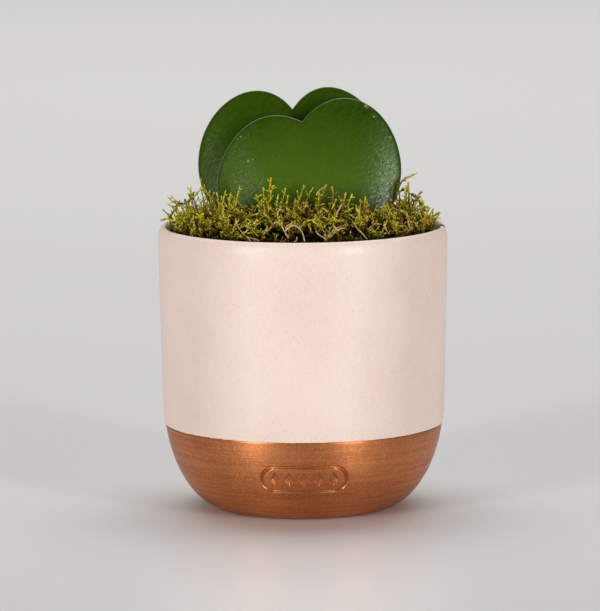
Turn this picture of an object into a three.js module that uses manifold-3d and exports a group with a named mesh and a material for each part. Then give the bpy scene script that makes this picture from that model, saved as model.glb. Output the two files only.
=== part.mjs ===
// Potted sweetheart hoya: two heart-shaped leaf cuttings standing in moss, in a round ceramic pot.
// Millimetres, +Z up, the front faces -Y. The origin is the centre of the circle that the pot stands on.
import * as THREE from "three";
import { mergeVertices } from "three/addons/utils/BufferGeometryUtils.js";
import Module from "manifold-3d";

const wasm = await Module();
wasm.setup();

// Pot
const sides = 48; // facets round everything that is turned
const potDiameter = 130.2;
const potHeight = 127.5;
const wall = 3.6;
const floorThickness = 6;
const foot = { innerRadius: 32, outerRadius: 36.7, recess: 1.5, edge: 1 };
const bowl = { height: 48, radius: 63.4, squareness: 1.9 }; // the rounded bottom
const shoulder = { height: 6, depth: 2.1 }; // the rounding outside the rim
const lip = { height: 1.8, depth: 0.9 }; // the rounding inside the rim
const badge = { width: 39, height: 12.6, line: 1.3, depth: 0.8, middleHeight: 21.2 };
const lozenges = { count: 5, width: 3.6, height: 5.8 };
const fit = 0.3; // clearance between pieces that touch

// Filling
const soilTop = { atWall: 106.6, atMiddle: 107.6 };
const moss = {
  edgeHeight: 119.5,
  crownHeight: 131,
  lumpHeight: 1.5,
  sprigs: 128,
  sprigLength: [12, 20],
  lean: [0, 45], // degrees from upright at the root
  bend: [15, 80], // degrees more by the tip
  roll: [-50, 50], // degrees that a sprig's flat side is turned
  stemRadius: 0.65,
  bareShare: 0.32, // of the stem, below the twigs
  tipShare: 0.18, // of the stem, above them
  twigPairs: 3,
  twigLength: [5, 7.6],
  rootDepth: 2.2,
  reachUnderRim: 59.8,
  reachOverRim: 64.2,
};

// Leaves. Each half of an outline runs from the notch at the top, over the lobe, to the stalk at the bottom.
const leafThickness = 3.2;
const leafEdge = 18; // the higher, the squarer the blade's edge
const leafMiddle = 38; // height of the outline's centre over the stalk
const leafFoot = { out: 14.3, up: 5.8 }; // how the outline leaves the stalk
const outlineSteps = { lobe: 12, flank: 11 };
const stalk = { radius: 2.1, below: 23, into: 9, facets: 10 };
const frontLeaf = {
  notchHeight: 66.5,
  left: { reach: 42.2, widestAt: 42, notchOut: 23.9, notchUp: 15.8, over: 11, under: 22 },
  right: { reach: 41.4, widestAt: 42.5, notchOut: 20.8, notchUp: 19.5, over: 25.4, under: 24 },
  sideCurl: 7.5,
  topCurl: 2.5,
  place: [8.5, -3.5, 108.7],
  turn: { lean: -1.5, tilt: -7.3, yaw: -1.5 },
};
const backLeaf = {
  notchHeight: 70.4,
  left: { reach: 43.6, widestAt: 45.1, notchOut: 15.5, notchUp: 21.2, over: 27.8, under: 25.5 },
  right: { reach: 41.9, widestAt: 51.3, notchOut: 17.6, notchUp: 23.7, over: 15.3, under: 22 },
  sideCurl: 6,
  topCurl: 1.5,
  place: [-1.5, 6.5, 108.8],
  turn: { lean: -2.5, tilt: -2.3, yaw: 2 },
};

const colours = { pinkGlaze: 0xe9cfc1, soil: 0x3a2a1e, mossGreen: 0x86861f, leafGreen: 0x355a12 };

// Repeatable random numbers from 0 to 1
let seed = 20117;
function random() {
  seed = (seed * 1664525 + 1013904223) % 4294967296;
  return seed / 4294967296;
}

function between([low, high]) {
  return low + (high - low) * random();
}

function solidOf(geometry, matrix = new THREE.Matrix4()) {
  const bare = new THREE.BufferGeometry();
  bare.setAttribute("position", geometry.getAttribute("position"));
  bare.setIndex(geometry.index);
  bare.applyMatrix4(matrix);
  const merged = mergeVertices(bare, 1e-4);
  const vertProperties = merged.attributes.position.array;
  const triVerts = new Uint32Array(merged.index.array);
  return new wasm.Manifold(new wasm.Mesh({ numProp: 3, vertProperties, triVerts }));
}

function geometryOf(solid) {
  const mesh = solid.getMesh();
  const geometry = new THREE.BufferGeometry();
  geometry.setAttribute("position", new THREE.BufferAttribute(mesh.vertProperties, 3));
  geometry.setIndex(new THREE.BufferAttribute(mesh.triVerts, 1));
  geometry.computeVertexNormals();
  return geometry;
}

function meshGeometry(positions, index) {
  const geometry = new THREE.BufferGeometry();
  geometry.setAttribute("position", new THREE.Float32BufferAttribute(positions, 3));
  geometry.setIndex(index);
  return geometry;
}

function joined(solids) {
  return solids.reduce((all, solid) => all.add(solid));
}

// The body with the most volume: cutting can leave loose scraps, which are dropped.
function largestBody(solid) {
  return solid.decompose().reduce((best, body) => (body.volume() > best.volume() ? body : best));
}

function meshOf(name, geometry, color, roughness) {
  const mesh = new THREE.Mesh(geometry, new THREE.MeshStandardMaterial({ color, roughness, metalness: 0 }));
  mesh.name = name;
  return mesh;
}

// A profile of [radius, height] points, turned about Z
function turned(profile) {
  const points = profile.map(([radius, height]) => new THREE.Vector2(radius, height));
  return new THREE.LatheGeometry(points, sides).rotateX(Math.PI / 2);
}

// A corner rounded from flat to upright: how far out and up it has come, both from 0 to 1, after each step
function roundCorner(steps, squareness = 2) {
  return Array.from({ length: steps + 1 }, (_, step) => {
    const angle = ((step / steps) * Math.PI) / 2;
    return [Math.sin(angle) ** (2 / squareness), 1 - Math.cos(angle) ** (2 / squareness)];
  });
}

// Pot

function potOutside() {
  const top = potDiameter / 2;
  const shoulderStart = potHeight - shoulder.height;
  const bottom = roundCorner(8, bowl.squareness).map(([out, up]) => [
    foot.outerRadius + (bowl.radius - foot.outerRadius) * out,
    bowl.height * up,
  ]);
  const wallShares = [0.3, 0.65, 1];
  const side = wallShares.map((share) => [
    bowl.radius + (top - bowl.radius) * share ** 0.85,
    bowl.height + (shoulderStart - bowl.height) * share,
  ]);
  const rim = roundCorner(3).slice(1).map(([out, up]) => [
    top - shoulder.depth * up,
    shoulderStart + shoulder.height * out,
  ]);
  return [...bottom, ...side, ...rim];
}

// Radius of the upright inner wall at a height
function wallInside(height) {
  const share = (height - bowl.height) / (potHeight - bowl.height);
  return bowl.radius - wall + (potDiameter / 2 - bowl.radius) * share;
}

// The rounded bottom of the inside, from the floor to the upright wall
function bowlInside() {
  const floorRadius = foot.outerRadius - wall;
  return roundCorner(5, bowl.squareness).map(([out, up]) => [
    floorRadius + (wallInside(bowl.height) - floorRadius) * out,
    floorThickness + (bowl.height - floorThickness) * up,
  ]);
}

function pill(width, height) {
  const shape = new THREE.Shape();
  const radius = height / 2;
  shape.absarc(width / 2 - radius, 0, radius, -Math.PI / 2, Math.PI / 2, false);
  shape.absarc(radius - width / 2, 0, radius, Math.PI / 2, (3 * Math.PI) / 2, false);
  return shape;
}

function lozenge(x, width, height) {
  const shape = new THREE.Shape();
  shape.moveTo(x + width / 2, 0);
  shape.lineTo(x, height / 2);
  shape.lineTo(x - width / 2, 0);
  shape.lineTo(x, -height / 2);
  shape.closePath();
  return shape;
}

// The plain pressed badge: a pill-shaped line round a row of lozenges, equally deep all over
function badgeCut() {
  const frame = pill(badge.width, badge.height);
  frame.holes.push(pill(badge.width - 2 * badge.line, badge.height - 2 * badge.line));
  const shapes = [frame];
  const pitch = badge.width / (lozenges.count + 1);
  for (let i = 1; i <= lozenges.count; i++) {
    shapes.push(lozenge(i * pitch - badge.width / 2, lozenges.width, lozenges.height));
  }
  const place = new THREE.Matrix4().makeTranslation(0, 0, badge.middleHeight);
  const settings = { depth: potDiameter, bevelEnabled: false, curveSegments: 8 };
  const prisms = shapes.map((shape) => {
    const prism = new THREE.ExtrudeGeometry(shape, settings).rotateX(Math.PI / 2);
    return solidOf(prism, place);
  });
  const inset = potOutside().map(([radius, height]) => [radius - badge.depth, height]);
  return joined(prisms).subtract(solidOf(turned([[0, 0], ...inset, [0, potHeight]])));
}

function pot() {
  const underside = [
    [0, foot.recess],
    [foot.innerRadius - foot.edge, foot.recess],
    [foot.innerRadius, 0],
  ];
  const inner = wallInside(potHeight);
  const rim = roundCorner(2).map(([out, up]) => [inner + lip.depth * (1 - out), potHeight - lip.height * up]);
  const profile = [...underside, ...potOutside(), ...rim, ...bowlInside().reverse(), [0, floorThickness]];
  return meshOf("pot", geometryOf(solidOf(turned(profile)).subtract(badgeCut())), colours.pinkGlaze, 0.45);
}

// Leaves

// One half of the outline from the notch to the stalk, in the leaf's own plane: x across, y up
function halfOutline(notchHeight, half, side) {
  const notch = new THREE.Vector2(0, notchHeight);
  const widest = new THREE.Vector2(side * half.reach, half.widestAt);
  const lobe = new THREE.CubicBezierCurve(
    notch,
    new THREE.Vector2(side * half.notchOut, notchHeight + half.notchUp),
    new THREE.Vector2(widest.x, widest.y + half.over),
    widest,
  );
  const flank = new THREE.CubicBezierCurve(
    widest,
    new THREE.Vector2(widest.x, widest.y - half.under),
    new THREE.Vector2(side * leafFoot.out, leafFoot.up),
    new THREE.Vector2(0, 0),
  );
  return [...lobe.getPoints(outlineSteps.lobe), ...flank.getPoints(outlineSteps.flank).slice(1)];
}

function leafOutline(leaf) {
  const right = halfOutline(leaf.notchHeight, leaf.right, 1);
  const left = halfOutline(leaf.notchHeight, leaf.left, -1);
  return [...right, ...left.reverse().slice(1, -1)];
}

// How far the middle of the blade lies behind its own plane, at x across and y up
function leafDepth(leaf, x, y) {
  const across = x / leaf.right.reach;
  const up = (y - leafMiddle) / leafMiddle;
  return leaf.sideCurl * across ** 2 * (1.15 - 0.25 * up) - leaf.topCurl * up ** 2;
}

// The blade as a closed mesh: rings from the centre to the outline, in front and behind. grow makes it
// larger all round, with a band between the two outermost rings, which otherwise are one.
function bladeGeometry(leaf, grow = 0) {
  const outline = leafOutline(leaf);
  const count = outline.length;
  const shares = [0.35, 0.7, 0.89, 0.96, 0.99, 1];
  const edgeGrow = grow * 1.4;
  const positions = [];
  const index = [];
  const add = (x, y, face, share) => {
    const half = (leafThickness / 2) * Math.sqrt(1 - share ** leafEdge) + grow;
    return positions.push(x, leafDepth(leaf, x, y) + face * half, y) / 3 - 1;
  };
  const outermost = [-1, 1].map((face) => {
    const triangle = (a, b, c) => (face < 0 ? index.push(a, b, c) : index.push(a, c, b));
    const middle = add(0, leafMiddle, face, 0);
    let inner = null;
    for (const share of shares) {
      const outer = outline.map(({ x, y }) => {
        const stretch = share * (1 + edgeGrow / Math.hypot(x, y - leafMiddle));
        return add(x * stretch, leafMiddle + (y - leafMiddle) * stretch, face, share);
      });
      for (let i = 0; i < count; i++) {
        const next = (i + 1) % count;
        if (inner) {
          triangle(inner[i], inner[next], outer[next]);
          triangle(inner[i], outer[next], outer[i]);
        } else {
          triangle(middle, outer[next], outer[i]);
        }
      }
      inner = outer;
    }
    return inner;
  });
  if (grow > 0) {
    const [front, back] = outermost;
    for (let i = 0; i < count; i++) {
      const next = (i + 1) % count;
      index.push(front[i], front[next], back[next], front[i], back[next], back[i]);
    }
  }
  return meshGeometry(positions, index);
}

function stalkGeometry(leaf, grow = 0) {
  const { radius, below, into, facets } = stalk;
  const profile = [
    [0, -below - grow],
    [radius * 0.7 + grow, -below - grow],
    [radius * 0.95 + grow, 1.5 - below],
    [radius + grow, 0],
    [radius * 0.6 + grow, into],
    [0, into + 1 + grow],
  ];
  const points = profile.map(([out, height]) => new THREE.Vector2(out, height));
  const behind = leafDepth(leaf, 0, 0);
  return new THREE.LatheGeometry(points, facets).rotateX(Math.PI / 2).translate(0, behind, 0);
}

function leafMatrix(leaf) {
  const { lean, tilt, yaw } = leaf.turn;
  const angles = [lean, tilt, yaw].map((angle) => THREE.MathUtils.degToRad(angle));
  const rotation = new THREE.Quaternion().setFromEuler(new THREE.Euler(...angles));
  return new THREE.Matrix4().compose(new THREE.Vector3(...leaf.place), rotation, new THREE.Vector3(1, 1, 1));
}

function leafSolid(leaf, grow = 0, matrix = new THREE.Matrix4()) {
  return solidOf(bladeGeometry(leaf, grow), matrix).add(solidOf(stalkGeometry(leaf, grow), matrix));
}

function leafMesh(name, leaf) {
  const mesh = meshOf(name, geometryOf(leafSolid(leaf)), colours.leafGreen, 0.45);
  mesh.applyMatrix4(leafMatrix(leaf));
  return mesh;
}

// The space that both leaves take in the soil and the moss, with its clearance
function leafHoles() {
  return joined([frontLeaf, backLeaf].map((leaf) => leafSolid(leaf, fit, leafMatrix(leaf))));
}

// Soil

function soil(holes) {
  const profile = [
    [0, floorThickness + fit],
    ...bowlInside().map(([radius, height]) => [radius - fit, height + fit]),
    [wallInside(soilTop.atWall) - fit, soilTop.atWall],
    [0, soilTop.atMiddle],
  ];
  return meshOf("potting_soil", geometryOf(solidOf(turned(profile)).subtract(holes)), colours.soil, 0.95);
}

// Moss

// Height of the cushion under the sprigs: a low dome with hummocks, and tufts on them
function cushionHeight(x, y) {
  const out = Math.min(1, Math.hypot(x, y) / wallInside(potHeight));
  const hummocks = Math.sin(x * 0.23 + 1) * Math.cos(y * 0.27);
  const tufts = Math.sin(x * 0.62 + y * 0.21) * Math.sin(y * 0.57 - x * 0.13 + 2);
  const rise = (moss.crownHeight - moss.edgeHeight) * Math.sqrt(1 - out ** 3);
  return moss.edgeHeight + rise + moss.lumpHeight * (hummocks + tufts) * (1 - 0.6 * out ** 4);
}

function cushion() {
  const radius = wallInside(soilTop.atWall) - fit;
  const rings = 8;
  const surface = Array.from({ length: rings + 1 }, (_, ring) => [
    radius * (1 - (ring / rings) ** 1.3),
    moss.edgeHeight,
  ]);
  const profile = [[0, soilTop.atMiddle + fit], [radius, soilTop.atWall + fit], ...surface];
  const geometry = turned(profile);
  const position = geometry.getAttribute("position");
  for (let i = 0; i < position.count; i++) {
    const onTop = position.getZ(i) > moss.edgeHeight - 1;
    if (onTop) position.setZ(i, cushionHeight(position.getX(i), position.getY(i)));
  }
  return solidOf(geometry);
}

// The rim of the pot with its clearance, as a plain ring
function rimSpace() {
  const inner = wallInside(soilTop.atWall) - fit;
  const outer = potDiameter / 2 + fit;
  const top = potHeight + fit;
  const bottom = soilTop.atWall;
  return solidOf(turned([[inner, top], [inner, bottom], [outer, bottom], [outer, top], [inner, top]]));
}

// Moves a point of a sprig clear of the rim and of both leaves
function clearOfPieces(point, leaves) {
  const most = point.z < potHeight + 1 ? moss.reachUnderRim : moss.reachOverRim;
  const out = Math.hypot(point.x, point.y);
  if (out > most) point.multiply(new THREE.Vector3(most / out, most / out, 1));
  const least = leafThickness / 2 + moss.stemRadius + fit;
  for (const { leaf, inverse } of leaves) {
    const local = point.clone().applyMatrix4(inverse);
    const gap = local.y - leafDepth(leaf, local.x, local.z);
    const beside = Math.abs(local.x) < leaf.left.reach && local.z < leaf.notchHeight;
    if (beside && Math.abs(gap) < least) point.y += Math.sign(gap) * (least - Math.abs(gap));
  }
  return point;
}

// One closed mesh: a three-sided stem through the points, with pairs of pointed twigs raised from two of its
// sides. Its first stretch and its tip are bare. across is the direction that the twigs spread in.
function sprigGeometry(points, across, leaves) {
  const positions = [];
  const index = [];
  const add = (point) => positions.push(point.x, point.y, point.z) / 3 - 1;
  const quad = (a, b, c, d) => index.push(a, b, c, a, c, d);
  const frames = points.slice(0, -1).map((point, step) => {
    const ahead = points[step + 1].clone().sub(points[Math.max(step - 1, 0)]).normalize();
    const up = across.clone().cross(ahead).normalize();
    return { ahead, up, side: ahead.clone().cross(up) };
  });
  const rings = frames.map(({ up, side }, step) => {
    const radius = moss.stemRadius * (1 - (0.4 * step) / points.length);
    return [0, 1, 2].map((corner) => {
      const angle = (corner * 2 * Math.PI) / 3;
      const rim = points[step].clone().addScaledVector(up, radius * Math.cos(angle));
      return add(rim.addScaledVector(side, radius * Math.sin(angle)));
    });
  });
  rings.forEach((ring, step) => {
    const above = rings[step + 1] ?? Array(3).fill(add(points.at(-1)));
    ring.forEach((corner, i) => {
      const next = (i + 1) % 3;
      if (step === rings.length - 1) {
        index.push(corner, ring[next], above[i]);
      } else if (step === 0 || i === 1) {
        quad(corner, ring[next], above[next], above[i]);
      } else {
        const { ahead, side } = frames[step];
        const reach = between(moss.twigLength) * (i === 0 ? 1 : -1) * (1 - 0.14 * step);
        const twig = points[step].clone().lerp(points[step + 1], 0.5);
        twig.addScaledVector(side, reach * 0.78).addScaledVector(ahead, Math.abs(reach) * 0.62);
        const end = add(clearOfPieces(twig, leaves));
        const base = [corner, ring[next], above[next], above[i]];
        base.forEach((start, edge) => index.push(start, base[(edge + 1) % 4], end));
      }
    });
  });
  index.push(rings[0][0], rings[0][2], rings[0][1]);
  return meshGeometry(positions, index);
}

// A sprig with its root sunk in the cushion at x, y: it rises and arches over
function sprig(x, y, leaves) {
  const length = between(moss.sprigLength) + moss.rootDepth;
  const inward = 1 - Math.hypot(x, y) / moss.reachUnderRim;
  const heading = Math.atan2(y, x) + (random() - 0.5) * Math.PI * (1 + inward);
  const lean = THREE.MathUtils.degToRad(between(moss.lean));
  const bend = THREE.MathUtils.degToRad(between(moss.bend));
  const roll = THREE.MathUtils.degToRad(between(moss.roll));
  const outward = new THREE.Vector3(Math.cos(heading), Math.sin(heading), 0);
  const across = new THREE.Vector3(-outward.y, outward.x, 0).applyAxisAngle(outward, roll);
  const twigShare = (1 - moss.bareShare - moss.tipShare) / moss.twigPairs;
  const shares = Array.from({ length: moss.twigPairs + 1 }, (_, pair) => moss.bareShare + twigShare * pair);
  const point = new THREE.Vector3(x, y, cushionHeight(x, y) - moss.rootDepth);
  const points = [point.clone()];
  let last = 0;
  for (const share of [...shares, 1]) {
    const angle = lean + (bend * (share + last)) / 2;
    const stretch = length * (share - last);
    point.addScaledVector(outward, Math.sin(angle) * stretch);
    point.z += Math.cos(angle) * stretch;
    points.push(clearOfPieces(point.clone(), leaves));
    last = share;
  }
  return solidOf(sprigGeometry(points, across, leaves));
}

function mossCover(holes) {
  const leaves = [frontLeaf, backLeaf].map((leaf) => ({ leaf, inverse: leafMatrix(leaf).invert() }));
  const goldenAngle = Math.PI * (3 - Math.sqrt(5));
  const solids = [cushion()];
  for (let i = 0; i < moss.sprigs; i++) {
    const radius = (moss.reachUnderRim - 1) * Math.sqrt((i + 0.5) / moss.sprigs);
    solids.push(sprig(radius * Math.cos(i * goldenAngle), radius * Math.sin(i * goldenAngle), leaves));
  }
  const cover = largestBody(joined(solids).subtract(holes).subtract(rimSpace()));
  return meshOf("moss_cover", geometryOf(cover), colours.mossGreen, 0.9);
}

// Assembly
const holes = leafHoles();
const leafPair = new THREE.Group();
leafPair.add(leafMesh("leaf_front", frontLeaf), leafMesh("leaf_back", backLeaf));

const pottedPlant = new THREE.Group();
pottedPlant.add(pot(), soil(holes), mossCover(holes), leafPair);

export default pottedPlant;
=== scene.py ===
import math
import random

import bmesh
import bpy
import numpy
from mathutils import Matrix, Vector, geometry, noise


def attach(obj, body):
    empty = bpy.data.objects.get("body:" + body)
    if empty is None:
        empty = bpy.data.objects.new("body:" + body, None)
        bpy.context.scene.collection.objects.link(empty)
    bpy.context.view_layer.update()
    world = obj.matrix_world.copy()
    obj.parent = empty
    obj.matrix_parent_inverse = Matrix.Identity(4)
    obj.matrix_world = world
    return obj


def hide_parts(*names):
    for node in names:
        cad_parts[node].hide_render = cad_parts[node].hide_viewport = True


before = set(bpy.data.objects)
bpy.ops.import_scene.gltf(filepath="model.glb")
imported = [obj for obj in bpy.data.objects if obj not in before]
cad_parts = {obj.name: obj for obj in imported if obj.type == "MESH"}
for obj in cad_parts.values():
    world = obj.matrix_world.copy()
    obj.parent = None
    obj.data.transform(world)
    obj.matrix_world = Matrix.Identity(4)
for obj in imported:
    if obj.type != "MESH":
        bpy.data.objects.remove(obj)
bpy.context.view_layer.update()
print("frame loaded")

millimetre = 0.001  # shapes are drawn in millimetres and scaled as each piece is finished

# Camera, lights and floor

camera = {
    "place": (-0.00145, -2.4, 0.4303),
    "target": (-0.00145, 0, 0.0909),
    "lens": 316.4,
    "roll": -0.36,
    "farthest": 60,
}
sideBox = {"aim": (0, 0, 0.3), "size": (0.2, 0.84), "spread": 60}
studio = {
    "left": {**sideBox, "place": (-0.99, -1.16, 0.44), "watts": 1.82},
    "right": {**sideBox, "place": (0.972, -1.18, 0.44), "watts": 1.76},
    "top": {"place": (0, 2.1, 3.2), "aim": (0, 2.1, 0), "size": (4.4, 4), "watts": 88, "spread": 125},
    "skyColour": (1, 0.99, 0.98, 1),
    "skyStrength": 0.16,
    "cardPlace": (0, -1.5, 0.004),
    "cardSize": (2.6, 2.1),
    "floorReach": 14,
    "floorColour": (0.78, 0.775, 0.765),
}


def rotation(degrees, axis):
    return Matrix.Rotation(math.radians(degrees), 4, axis)


def lookAt(place, target):
    look = (Vector(target) - Vector(place)).to_track_quat("-Z", "Y").to_matrix().to_4x4()
    return Matrix.Translation(place) @ look


def newObject(name, data):
    item = bpy.data.objects.new(name, data)
    bpy.context.scene.collection.objects.link(item)
    return item


def addCamera():
    data = bpy.data.cameras.new("camera")
    data.lens = camera["lens"]
    data.clip_end = camera["farthest"]
    eye = newObject("camera", data)
    eye.matrix_world = lookAt(camera["place"], camera["target"]) @ rotation(camera["roll"], "Z")
    bpy.context.scene.camera = eye


def addSoftbox(name):
    box = studio[name]
    data = bpy.data.lights.new(name + "Softbox", "AREA")
    data.shape = "RECTANGLE"
    data.size, data.size_y = box["size"]
    data.energy = box["watts"]
    data.spread = math.radians(box["spread"])
    light = newObject(name + "Softbox", data)
    light.matrix_world = lookAt(box["place"], box["aim"])
    light.visible_camera = False


def addSky():
    sky = bpy.data.worlds.new("sky")
    sky.use_nodes = True
    background = sky.node_tree.nodes["Background"]
    background.inputs["Color"].default_value = studio["skyColour"]
    background.inputs["Strength"].default_value = studio["skyStrength"]
    bpy.context.scene.world = sky
    bpy.context.scene.view_settings.view_transform = "Standard"


addCamera()
for softbox in ("left", "right", "top"):
    addSoftbox(softbox)
addSky()
print("camera and lights placed")

# Shader helpers and the effects that several materials share


def addNode(tree, kind, inputs=None, **settings):
    node = tree.nodes.new(kind)
    for name, value in settings.items():
        setattr(node, name, value)
    for name, value in (inputs or {}).items():
        if isinstance(value, bpy.types.NodeSocket):
            tree.links.new(value, node.inputs[name])
        else:
            node.inputs[name].default_value = value
    return node


def newEffect(name, inputs, outputs):
    tree = bpy.data.node_groups.new(name, "ShaderNodeTree")
    for title, kind in outputs:
        tree.interface.new_socket(title, in_out="OUTPUT", socket_type=kind)
    for title, kind, value in inputs:
        socket = tree.interface.new_socket(title, in_out="INPUT", socket_type=kind)
        if value is not None:
            socket.default_value = value
    start = tree.nodes.new("NodeGroupInput")
    end = tree.nodes.new("NodeGroupOutput")
    return tree, start.outputs, end.inputs


def useEffect(tree, effect, inputs):
    return addNode(tree, "ShaderNodeGroup", inputs, node_tree=effect).outputs


def maths(tree, operation, first, second):
    return addNode(tree, "ShaderNodeMath", {0: first, 1: second}, operation=operation).outputs[0]


def times(tree, first, second):
    return maths(tree, "MULTIPLY", first, second)


def plus(tree, first, second):
    return maths(tree, "ADD", first, second)


def mixColour(tree, factor, first, second):
    # a colour is another node's, or three numbers
    first, second = ((*colour, 1) if isinstance(colour, tuple) else colour for colour in (first, second))
    return addNode(tree, "ShaderNodeMix", {0: factor, 6: first, 7: second}, data_type="RGBA").outputs[2]


def remap(tree, value, low, high, toLow=0.0, toHigh=1.0):
    inputs = {"Value": value, "From Min": low, "From Max": high, "To Min": toLow, "To Max": toHigh}
    return addNode(tree, "ShaderNodeMapRange", inputs).outputs[0]


def stretched(tree, vector, scale):
    return addNode(tree, "ShaderNodeMapping", {"Vector": vector, "Scale": scale}).outputs[0]


def axesOf(tree, place):
    return addNode(tree, "ShaderNodeSeparateXYZ", {0: place}).outputs


def attribute(tree, name):
    return addNode(tree, "ShaderNodeAttribute", attribute_name=name).outputs["Fac"]


cloudInputs = [
    ("Vector", "NodeSocketVector", None),
    ("Scale", "NodeSocketFloat", 50.0),
    ("Detail", "NodeSocketFloat", 3.0),
    ("Low", "NodeSocketFloat", 0.35),
    ("High", "NodeSocketFloat", 0.65),
]
clouds, start, end = newEffect("clouds", cloudInputs, [("Mask", "NodeSocketFloat")])
noiseInputs = {name: start[name] for name in ("Vector", "Scale", "Detail")}
cloudNoise = addNode(clouds, "ShaderNodeTexNoise", noiseInputs).outputs[0]
clouds.links.new(remap(clouds, cloudNoise, start["Low"], start["High"]), end["Mask"])

speckInputs = [
    ("Vector", "NodeSocketVector", None),
    ("Scale", "NodeSocketFloat", 200.0),
    ("Size", "NodeSocketFloat", 0.1),
    ("Share", "NodeSocketFloat", 0.3),
]
speckOutputs = [("Mask", "NodeSocketFloat"), ("Tone", "NodeSocketFloat")]
specks, start, end = newEffect("specks", speckInputs, speckOutputs)
speckCells = addNode(specks, "ShaderNodeTexVoronoi", {"Vector": start["Vector"], "Scale": start["Scale"]})
speckTone = addNode(specks, "ShaderNodeSeparateColor", {"Color": speckCells.outputs["Color"]}).outputs[0]
speckEdge = times(specks, start["Size"], 0.5)
speckDot = remap(specks, speckCells.outputs["Distance"], speckEdge, start["Size"], 1.0, 0.0)
speckChosen = maths(specks, "LESS_THAN", speckTone, start["Share"])
specks.links.new(times(specks, speckDot, speckChosen), end["Mask"])
specks.links.new(speckTone, end["Tone"])


def newMaterial(name, constants=None):
    material = bpy.data.materials.new(name)
    material.use_nodes = True
    tree = material.node_tree
    shader = tree.nodes["Principled BSDF"]
    for title, value in (constants or {}).items():
        shader.inputs[title].default_value = value
    place = addNode(tree, "ShaderNodeTexCoord").outputs["Object"]
    return material, tree, shader, place


def feed(tree, shader, colour, roughness=None, height=None, depth=0.0001, strength=1.0):
    tree.links.new(colour, shader.inputs["Base Color"])
    if roughness is not None:
        tree.links.new(roughness, shader.inputs["Roughness"])
    if height is not None:
        bump = addNode(tree, "ShaderNodeBump", {"Height": height, "Distance": depth, "Strength": strength})
        tree.links.new(bump.outputs[0], shader.inputs["Normal"])


def cloud(tree, place, scale, low=0.35, high=0.65, detail=3.0):
    inputs = {"Vector": place, "Scale": scale, "Detail": detail, "Low": low, "High": high}
    return useEffect(tree, clouds, inputs)["Mask"]


def speckle(tree, place, scale, size, share, output="Mask"):
    inputs = {"Vector": place, "Scale": scale, "Size": size, "Share": share}
    return useEffect(tree, specks, inputs)[output]


def finishPiece(bm, name, materials, nodes):
    bmesh.ops.scale(bm, vec=(millimetre, millimetre, millimetre), verts=bm.verts)
    for face in bm.faces:
        face.smooth = True
    mesh = bpy.data.meshes.new(name)
    bm.to_mesh(mesh)
    bm.free()
    for material in materials:
        mesh.materials.append(material)
    piece = newObject(name, mesh)
    if nodes:
        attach(piece, "root")
        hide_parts(*nodes)
    print(name, len(mesh.polygons), "faces")
    return piece


# Floor

floorFinish = {"Roughness": 0.32, "Specular IOR Level": 0.35}
floorMaterial, tree, shader, place = newMaterial("paleFloor", floorFinish)
feed(tree, shader, mixColour(tree, cloud(tree, place, 3), studio["floorColour"], (0.78, 0.77, 0.765)))

bm = bmesh.new()
bmesh.ops.create_circle(bm, cap_ends=True, segments=96, radius=studio["floorReach"] / millimetre)
finishPiece(bm, "floor", [floorMaterial], ())

# a dark card lies in front of the camera's view, for the leaves to mirror
cardFinish = {"Roughness": 0.9, "Specular IOR Level": 0.1}
cardMaterial, tree, shader, place = newMaterial("darkCard", cardFinish)
feed(tree, shader, mixColour(tree, cloud(tree, place, 20), (0.012, 0.012, 0.012), (0.02, 0.02, 0.02)))
bm = bmesh.new()
bmesh.ops.create_grid(bm, x_segments=1, y_segments=1, size=0.5 / millimetre)  # a metre each way
bmesh.ops.scale(bm, vec=(*studio["cardSize"], 1), verts=bm.verts)
bmesh.ops.translate(bm, vec=Vector(studio["cardPlace"]) / millimetre, verts=bm.verts)
card = finishPiece(bm, "card", [cardMaterial], ())
card.visible_camera = card.visible_diffuse = card.visible_shadow = False

# Pot

pot = {
    "steps": 288,
    "radius": 65.1,
    "height": 127.5,
    "wall": 3.6,
    "floor": 6,
    "foot": 36.7,
    "footInside": 32,
    "recess": 1.5,
    "bowlHeight": 48,
    "bowlRadius": 63.4,
    "bowlSteps": 46,
    "squareness": 1.9,
    "bulge": 0.85,
    "shoulderHeight": 6,
    "shoulderDepth": 2.1,
    "shoulderSteps": 8,
    "lipHeight": 1.8,
    "lipDepth": 0.9,
    "lipSteps": 5,
    "paintLine": 38.6,
    "glazeProud": 0.12,
    "paintSunk": 0.12,
    "paintThickness": 0.22,
    "wallStep": 2.4,
    "insideStep": 4,
    "insideSteps": 14,
    # how far out and up, from the foot ring's inside and from the paint line
    "footCorner": [(-1, 1.5), (-0.35, 0.93), (0.05, 0.22), (0.6, 0)],
    "glazeEdge": [(-0.02, -0.2), (0.13, -0.1), (0.23, 0.15), (0.27, 0.5), (0.25, 1)],
}
badge = {
    "width": 39,
    "height": 12.6,
    "line": 1.3,
    "softness": 0.4,
    "depth": 0.95,
    "middle": 21.2,
    "margin": 2,
    "cuts": 5,
    "lozenges": 5,
    "lozengeWidth": 3.6,
    "lozengeHeight": 5.8,
}
drips = {
    "wander": 0.16,
    "slowGrain": 9,
    "ragged": 0.42,
    "raggedFrom": -146,
    "raggedTo": -116,
    "grain": 1.3,
    "reach": 1.6,
}


def bowlRadius(height, foot=pot["foot"], top=pot["bowlRadius"], low=0.0):
    up = min(max((height - low) / (pot["bowlHeight"] - low), 0), 1)
    cosine = (1 - up) ** (pot["squareness"] / 2)
    return foot + (top - foot) * math.sqrt(max(1 - cosine * cosine, 0)) ** (2 / pot["squareness"])


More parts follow.
